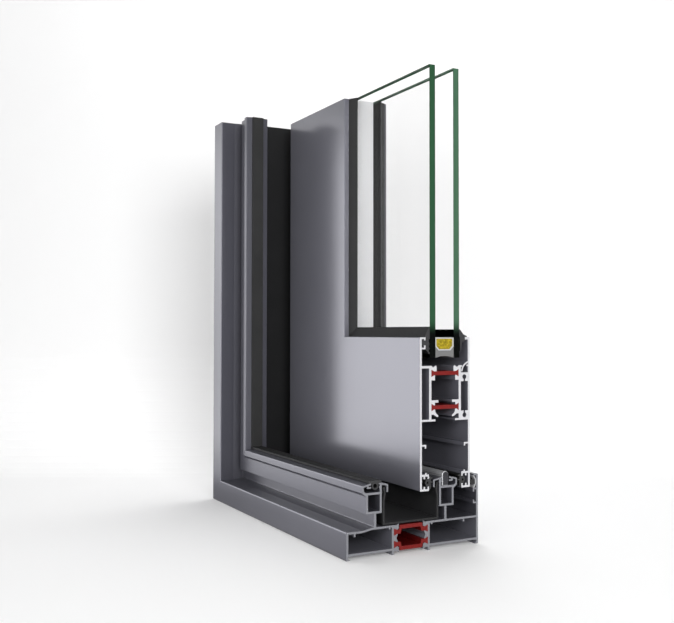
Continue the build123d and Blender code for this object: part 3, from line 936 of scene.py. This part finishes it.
@dataclass
class GlassUnit:
    """Two panes with spacer bars, drying granules, sealant and packers."""

    outside_edge: str = "#2c4f37"
    inside_edge: str = "#44654f"
    bead_radius: float = 0.42 * MM
    bead_pitch: float = 0.86 * MM
    bead_sink: float = 0.3 * MM
    bead_sides: int = 8
    bead_rings: int = 6
    row_share: float = 0.87
    jitter: float = 0.14
    core_sink: float = 0.8 * MM
    corner_slope: float = 2.46 * MM
    weld: float = 0.001 * MM
    seed: int = 7

    def granules(self, book: FinishBook, side: str, run: Run) -> None:
        """Fill a spacer bar with granules whose beads show at the saw cut.

        Args:
            book: Where the finishes are kept.
            side: Which spacer bar, bottom or side.
            run: Way that the spacer bar runs.
        """
        node = f"{side}_desiccant"
        low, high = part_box(node)
        along = run.value[0]
        mesh = bmesh.new()
        mesh.from_mesh(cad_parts[node].data)
        bmesh.ops.remove_doubles(mesh, verts=mesh.verts, dist=self.weld)
        cut = Vector()
        cut[along] = high[along] - self.core_sink
        way = Vector()
        way[along] = 1.0
        parts = mesh.verts[:] + mesh.edges[:] + mesh.faces[:]
        bmesh.ops.bisect_plane(mesh, geom=parts, plane_co=cut, plane_no=way, clear_outer=True)
        bmesh.ops.holes_fill(mesh, edges=[edge for edge in mesh.edges if edge.is_boundary], sides=0)
        bmesh.ops.recalc_face_normals(mesh, faces=mesh.faces)
        for spot in self.bead_spots(low, high, run):
            bmesh.ops.create_uvsphere(
                mesh,
                u_segments=self.bead_sides,
                v_segments=self.bead_rings,
                radius=self.bead_radius,
                matrix=Matrix.Translation(spot),
            )
        data = bpy.data.meshes.new(f"{side}_granules")
        mesh.to_mesh(data)
        mesh.free()
        data.shade_smooth()
        data.materials.append(book.material(Granules()))
        piece = bpy.data.objects.new(f"{side}_granules", data)
        bpy.context.scene.collection.objects.link(piece)
        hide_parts(node)
        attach(piece, "sash")
        LOG.info("built %s", piece.name)

    def bead_spots(self, low: Vector, high: Vector, run: Run) -> list[Vector]:
        """Lay out the beads that show at a cut, in staggered rows between the fill's sloped corners.

        Args:
            low: Lowest corner of the fill.
            high: Highest corner of the fill.
            run: Way that the spacer bar runs.

        Returns:
            Centres of the beads.
        """
        along, across = run.value
        rng = random.Random(self.seed)
        middle = (low[Y] + high[Y]) / 2
        half = (high[Y] - low[Y]) / 2 - self.bead_radius
        rows = int((high[across] - low[across]) / (self.bead_pitch * self.row_share))
        columns = int(2 * half / self.bead_pitch) + 1
        spots = []
        for row in range(rows + 1):
            stagger = 0.5 * (row % 2)
            for column in range(columns + 1):
                spot = Vector()
                step = column + stagger + rng.uniform(-self.jitter, self.jitter)
                spot[Y] = middle - half + step * self.bead_pitch
                step = row * self.row_share + rng.uniform(-self.jitter, self.jitter)
                rise = self.bead_radius + step * self.bead_pitch
                spot[across] = low[across] + rise
                spot[along] = high[along] - self.bead_radius - rng.uniform(0.0, self.bead_sink)
                aside = abs(spot[Y] - middle)
                clipped = aside - half + self.corner_slope > rise - self.bead_radius
                if aside <= half and not clipped and spot[across] <= high[across] - self.bead_radius:
                    spots.append(spot)
        return spots

    def dress(self, book: FinishBook) -> None:
        """Give the glass unit's pieces their finishes.

        Args:
            book: Where the finishes are kept.
        """
        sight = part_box("bottom_outside_gasket")[1][Z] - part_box("outside_pane")[0][Z]
        for node, edge in (("outside_pane", self.outside_edge), ("inside_pane", self.inside_edge)):
            book.dress(FloatGlass(f"{node}_glass", edge, node, sight), (node,))
        book.dress(SPACER, ("bottom_spacer_bar", "side_spacer_bar"))
        book.dress(SEALANT, ("bottom_edge_sealant", "side_edge_sealant"))
        book.dress(PACKER, ("bottom_glass_packer", "side_glass_packer"))
        self.granules(book, "bottom", Run.SILL)
        self.granules(book, "side", Run.JAMB)


@dataclass
class RollerCarriage:
    """The carriage that runs on the rail inside the bottom rail."""

    steel: str = "#9c9fa3"
    nylon: str = "#2a2a2b"

    def dress(self, book: FinishBook) -> None:
        """Give the carriage's pieces their finishes.

        Args:
            book: Where the finishes are kept.
        """
        plated = PolishedMetal("carriage_steel", self.steel, self.steel, roughness=0.35)
        book.dress(plated, ("carriage_housing", "roller_axles"))
        moulded = Rubber("roller_plastic", self.nylon, self.nylon, roughness=0.4, gloss=0.5)
        book.dress(moulded, ("rollers",))


def stand(name: str, mesh: bmesh.types.BMesh, material: bpy.types.Material) -> bpy.types.Object:
    """Put a stage piece in the studio.

    Args:
        name: Name of the piece.
        mesh: Its shape, which is freed.
        material: Its material.

    Returns:
        The stage piece.
    """
    data = bpy.data.meshes.new(name)
    mesh.to_mesh(data)
    mesh.free()
    data.materials.append(material)
    piece = bpy.data.objects.new(name, data)
    bpy.context.scene.collection.objects.link(piece)
    LOG.info("stood %s", name)
    return piece


def draw_out(mesh: bmesh.types.BMesh, edges: list[bmesh.types.BMEdge], way: Vector) -> None:
    """Draw edges out into faces.

    Args:
        mesh: Mesh that holds the edges.
        edges: The edges.
        way: How far, and in which direction.
    """
    made = bmesh.ops.extrude_edge_only(mesh, edges=edges)["geom"]
    verts = [part for part in made if isinstance(part, bmesh.types.BMVert)]
    bmesh.ops.translate(mesh, verts=verts, vec=way)


@dataclass(frozen=True)
class SoftBox:
    """A square lamp, with its size in metres and its power in watts."""

    name: str
    place: Point
    aim: Point
    size: float
    power: float
    mirrored: bool = False

    def hang(self) -> None:
        """Put the lamp in the studio, where satin faces mirror it only if it says so."""
        data = bpy.data.lights.new(self.name, "AREA")
        data.size = self.size
        data.energy = self.power
        lamp = bpy.data.objects.new(self.name, data)
        lamp.location = self.place
        lamp.rotation_euler = (Vector(self.aim) - Vector(self.place)).to_track_quat("-Z", "Y").to_euler()
        lamp.visible_glossy = self.mirrored
        bpy.context.scene.collection.objects.link(lamp)


@dataclass(frozen=True)
class ReflectionCard(ABC):
    """A card that only reflections show."""

    name: str

    @abstractmethod
    def corners(self) -> list[Vector]:
        """Give the four corners in order."""

    def put_up(self, through_glass: bool = True) -> NodeBook:
        """Put the card up in the studio.

        Args:
            through_glass: Whether the card also shows through glass.

        Returns:
            The card's material, still without a surface.
        """
        book = NodeBook(bpy.data.materials.new(self.name))
        mesh = bmesh.new()
        mesh.faces.new([mesh.verts.new(corner) for corner in self.corners()])
        piece = stand(self.name, mesh, book.owner)
        piece.visible_camera = False
        piece.visible_diffuse = False
        piece.visible_shadow = False
        piece.visible_transmission = through_glass
        return book


@dataclass(frozen=True)
class UprightCard(ReflectionCard):
    """An upright card, turned in degrees from straight in front of the sample towards the left."""

    away: float
    turn: float
    across: Span
    up: Span

    @property
    def along(self) -> Vector:
        """Level direction across the card, to the right of a viewer who faces the sample."""
        angle = math.radians(self.turn)
        return Vector((math.cos(angle), -math.sin(angle), 0.0))

    def corners(self) -> list[Vector]:
        """Give the four corners in order."""
        out = Vector((self.along.y, -self.along.x, 0.0)) * self.away
        left, right = (out + self.along * side for side in self.across)
        foot, head = (Vector((0.0, 0.0, height)) for height in self.up)
        return [left + foot, right + foot, right + head, left + head]

    def place_across(self, book: NodeBook) -> bpy.types.NodeSocket:
        """Measure the place across the card.

        Args:
            book: The card's material.

        Returns:
            Socket with the distance in metres.
        """
        dot = book.add("ShaderNodeVectorMath", operation="DOT_PRODUCT")
        book.put(dot.inputs[0], book.place())
        dot.inputs[1].default_value = self.along
        return dot.outputs["Value"]


@dataclass(frozen=True)
class FloorCard(ReflectionCard):
    """A card that lies just over the floor, from its lowest to its highest x and y."""

    low: Span
    high: Span
    lift: float = 1.0 * MM

    def corners(self) -> list[Vector]:
        """Give the four corners in order."""
        (left, front), (right, back) = self.low, self.high
        flat = ((left, front), (right, front), (right, back), (left, back))
        return [Vector((x, y, self.lift)) for x, y in flat]


@dataclass
class Studio:
    """Paper sweep, lamps, reflection cards and camera."""

    camera_place: Point = (0.69817, -0.34833, 0.15841)
    camera_turn: float = 60.48
    camera_tilt: float = 1.552
    sensor: float = 36.0
    lens: float = 48.79
    shift: Span = (-0.06108, -0.00734)
    nearest: float = 0.01
    fill: float = 0.38
    sweep_behind: float = 0.2
    sweep_half: float = 1.6
    sweep_floor: float = 1.8
    sweep_height: float = 3.0
    sweep_radius: float = 0.14
    sweep_steps: int = 16
    sweep_weld: float = 0.01 * MM
    sweep_fade: Span = (0.6, 1.1)
    paper_white: Colour = (0.88, 0.88, 0.88)
    paper_glow: float = 0.1
    card_turn: float = 64.0
    side_turn: float = 247.0
    cool: Colour = (0.93, 0.93, 1.0)
    strip_cool: Colour = (0.96, 0.96, 1.0)

    @property
    def heading(self) -> Vector:
        """Level direction in which the camera looks."""
        turn = math.radians(self.camera_turn)
        return Vector((-math.sin(turn), math.cos(turn), 0.0))

    @property
    def sideways(self) -> Vector:
        """Level direction to the camera's right."""
        return Vector((self.heading.y, -self.heading.x, 0.0))

    def spot(self, ahead: float, aside: float, height: float) -> Point:
        """Give a place by the camera's directions from the middle of the sample.

        Args:
            ahead: Distance in the direction in which the camera looks.
            aside: Distance to the camera's right.
            height: Height over the floor.

        Returns:
            The place in metres.
        """
        level = self.heading * ahead + self.sideways * aside
        return level.x, level.y, height

    def camera(self) -> None:
        """Stand the camera at the view that the framing needs."""
        data = bpy.data.cameras.new("view_camera")
        data.sensor_fit = "HORIZONTAL"
        data.sensor_width = self.sensor
        data.lens = self.lens
        data.shift_x, data.shift_y = self.shift
        data.clip_start = self.nearest
        camera = bpy.data.objects.new("view_camera", data)
        camera.location = self.camera_place
        tilt = math.radians(90.0 + self.camera_tilt)
        camera.rotation_euler = (tilt, 0.0, math.radians(self.camera_turn))
        bpy.context.scene.collection.objects.link(camera)
        bpy.context.scene.camera = camera

    def lights(self) -> None:
        """Hang the lamps."""
        key = self.spot(ahead=-1.25, aside=0.45, height=0.42)
        SoftBox("key_box", key, aim=(0.0, 0.0, 0.17), size=0.55, power=12.8).hang()
        front = (0.62, -0.95, 0.25)
        SoftBox("front_box", front, aim=(0.1, 0.0, 0.1), size=0.4, power=2.5, mirrored=True).hang()
        over = self.spot(ahead=0.2, aside=0.05, height=0.9)
        SoftBox("over_box", over, aim=(0.0, 0.0, 0.0), size=0.35, power=3.4).hang()

    def world(self) -> None:
        """Make a white surround that lights the object at a plain level."""
        book = NodeBook(bpy.data.worlds.new("surround"))
        fill = book.add("ShaderNodeBackground")
        fill.inputs["Strength"].default_value = self.fill
        white = book.add("ShaderNodeBackground")
        book.put(white.inputs["Color"], WHITE)
        book.surface(book.blend(book.seen(), fill, white))
        bpy.context.scene.world = book.owner

    def paper(self) -> bpy.types.Material:
        """Make the paper: white, and clear from behind and far from the sample.

        Returns:
            The material.
        """
        book = NodeBook(bpy.data.materials.new("white_paper"))
        white = book.add("ShaderNodeBsdfDiffuse")
        book.put(white.inputs["Color"], self.paper_white)
        glow = book.glow(book.math("MULTIPLY", book.seen(), self.paper_glow))
        lit = book.add("ShaderNodeAddShader")
        book.put(lit.inputs[0], white.outputs[0])
        book.put(lit.inputs[1], glow.outputs[0])
        back = book.add("ShaderNodeNewGeometry").outputs["Backfacing"]
        away = book.add("ShaderNodeVectorMath", operation="LENGTH")
        book.put(away.inputs[0], book.place())
        faded = book.ramp(away.outputs["Value"], self.sweep_fade)
        book.surface(book.blend(book.math("MAXIMUM", back, faded), lit, book.clear()))
        return book.owner

    def sweep(self) -> None:
        """Hang a white paper sweep that runs from the floor up behind the sample and keeps its shadow."""
        mesh = bmesh.new()
        bend = self.heading * self.sweep_behind
        half = self.sideways * self.sweep_half
        ends = [mesh.verts.new(bend - half), mesh.verts.new(bend + half)]
        start = mesh.edges.new(ends)
        draw_out(mesh, [start], self.heading * -self.sweep_floor)
        curve = bmesh.ops.spin(
            mesh,
            geom=[*ends, start],
            cent=bend + Vector((0.0, 0.0, self.sweep_radius)),
            axis=self.sideways,
            angle=math.radians(90.0),
            steps=self.sweep_steps,
        )["geom_last"]
        top = [part for part in curve if isinstance(part, bmesh.types.BMEdge)]
        draw_out(mesh, top, Vector((0.0, 0.0, self.sweep_height)))
        bmesh.ops.remove_doubles(mesh, verts=mesh.verts, dist=self.sweep_weld)
        bmesh.ops.recalc_face_normals(mesh, faces=mesh.faces)
        mesh.faces.ensure_lookup_table()
        if mesh.faces[0].normal.z < 0.0:
            bmesh.ops.reverse_faces(mesh, faces=mesh.faces)
        stand("paper_sweep", mesh, self.paper())

    def bright_strip(self) -> None:
        """Stand the bright strip that the sash mirrors, with soft edges and clear to sharp reflections."""
        card = UprightCard("strip_card", away=0.42, turn=self.card_turn, across=(-0.07, 0.4), up=(0.0, 0.5))
        book = card.put_up()
        across = card.place_across(book)
        left_edge = book.ramp(across, (-0.056, -0.022))
        top_edge = book.ramp(book.axes()[Z], (0.47, 0.35))
        sharp = book.add("ShaderNodeLightPath").outputs["Is Singular Ray"]
        cover = book.math("MULTIPLY", left_edge, top_edge)
        cover = book.math("MULTIPLY", cover, book.math("SUBTRACT", 1.0, sharp))
        glow = book.glow(book.ramp(across, (0.0, 0.12), (3.15, 3.7)), self.strip_cool)
        book.surface(book.blend(cover, book.clear(), glow))

    def floor_glow(self) -> None:
        """Lay the glow on the floor that the fronts of the sill and of the tracks mirror."""
        book = FloorCard("floor_card", low=(-0.5, -0.32), high=(0.16, -0.056)).put_up()
        where = book.axes()
        near = book.ramp(where[X], (-0.15, 0.1), (0.4, 0.8))
        far = book.ramp(where[Y], (-0.085, -0.13), (0.0, 1.35))
        book.surface(book.glow(book.math("ADD", near, far), self.cool))

    def flags(self) -> None:
        """Stand the grey flags that hold the brightness of the mirrored surround down."""
        low = UprightCard("low_flag", away=0.43, turn=self.card_turn, across=(-0.5, 0.02), up=(0.0, 0.3))
        book = low.put_up()
        top_edge = book.ramp(book.axes()[Z], (0.28, 0.16))
        book.surface(book.blend(top_edge, book.clear(), book.glow(0.5)))

        wall = UprightCard("wall_flag", away=1.5, turn=self.card_turn, across=(-1.2, 0.3), up=(-0.3, 1.2))
        book = wall.put_up()
        across = wall.place_across(book)
        upper = book.ramp(book.axes()[Z], (0.15, 0.75), (0.0, 0.9))
        left = book.math("MULTIPLY", upper, book.ramp(across, (-0.1, -0.14)))
        even = book.ramp(across, (0.03, 0.06), (0.5, 0.08))
        book.surface(book.glow(book.math("ADD", left, even)))

        side = UprightCard("side_flag", away=1.2, turn=self.side_turn, across=(-0.8, 0.8), up=(-0.3, 1.0))
        book = side.put_up(through_glass=False)
        book.surface(book.glow(0.2))

    def build(self) -> None:
        """Set up the whole studio."""
        self.camera()
        self.lights()
        self.world()
        self.sweep()
        self.bright_strip()
        self.floor_glow()
        self.flags()
        bpy.context.scene.view_settings.view_transform = "Standard"


def main() -> None:
    """Build and dress every sub-assembly and set up the studio."""
    logging.basicConfig(level=logging.INFO, format="%(message)s")
    book = FinishBook(cut_planes())
    for part in (OuterFrame(), Sash(), GlassUnit(), RollerCarriage()):
        part.dress(book)
    Studio().build()


if __name__ == "__main__":
    main()
